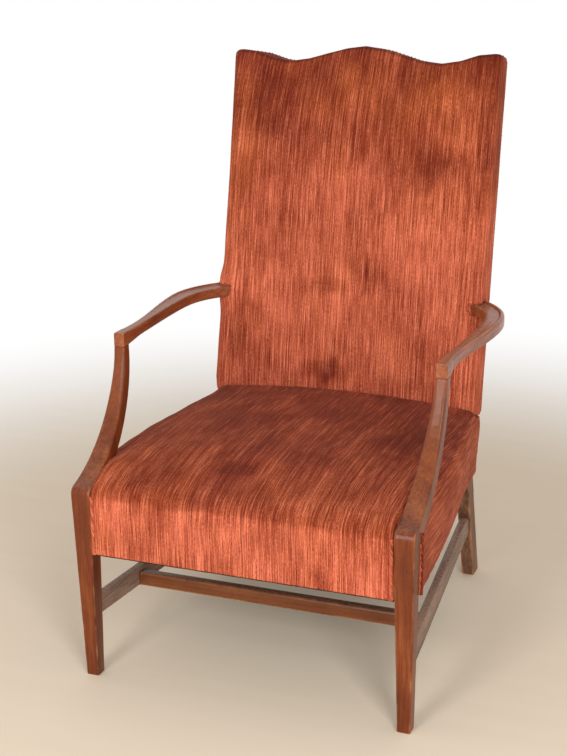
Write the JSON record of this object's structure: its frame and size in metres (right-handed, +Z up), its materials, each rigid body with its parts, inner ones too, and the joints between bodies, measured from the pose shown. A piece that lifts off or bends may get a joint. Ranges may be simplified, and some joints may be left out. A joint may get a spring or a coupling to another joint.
{
  "type": "upholstered open armchair",
  "caption": "High-backed upholstered armchair with a serpentine crest, open curved wooden arms on swept supports, square tapered legs and an H stretcher.",
  "frame": {"origin": "on the floor under the middle of the chair's outline", "axes": "+Z up, -Y towards the front of the chair, +X to the viewer's right from the front"},
  "size_m": [0.699, 0.787, 1.126],
  "materials": {
    "front_leg_wood": "satin red-brown mahogany",
    "rear_leg_wood": "worn, dull dark brown",
    "arm_wood": "satin mahogany, dusty on top",
    "side_stretcher_wood": "worn, dusty grey-brown",
    "middle_stretcher_wood": "satin dark red-brown",
    "frame_wood": "unfinished pale hardwood",
    "screw_steel": "plain steel",
    "spring_steel": "dull steel wire",
    "webbing": "woven jute",
    "hessian": "coarse woven jute",
    "stuffing": "loose fibre",
    "back_fabric": "striped pile velvet",
    "seat_fabric": "striped pile velvet",
    "outside_back_fabric": "striped pile velvet",
    "dust_cloth": "thin black cloth"
  },
  "bodies": {
    "root": {"front_leg_left": "front_leg_wood", "front_leg_right": "front_leg_wood", "rear_post_left": "rear_leg_wood", "rear_post_right": "rear_leg_wood", "arm_left": "arm_wood", "arm_right": "arm_wood", "arm_dowels": "frame_wood", "arm_screws": "screw_steel", "front_seat_rail": "frame_wood", "side_seat_rail_left": "frame_wood", "side_seat_rail_right": "frame_wood", "rear_seat_rail": "frame_wood", "corner_blocks": "frame_wood", "corner_block_screws": "screw_steel", "side_stretcher_left": "side_stretcher_wood", "side_stretcher_right": "side_stretcher_wood", "middle_stretcher": "middle_stretcher_wood", "crest_rail": "frame_wood", "lower_back_rail": "frame_wood", "back_webbing": "webbing", "back_hessian": "hessian", "back_stuffing": "stuffing", "back_cover": "back_fabric", "outside_back": "outside_back_fabric", "seat_webbing": "webbing", "seat_springs": "spring_steel", "seat_hessian": "hessian", "seat_stuffing": "stuffing", "seat_cover": "seat_fabric", "dust_cover": "dust_cloth"}
  },
  "joints": []
}
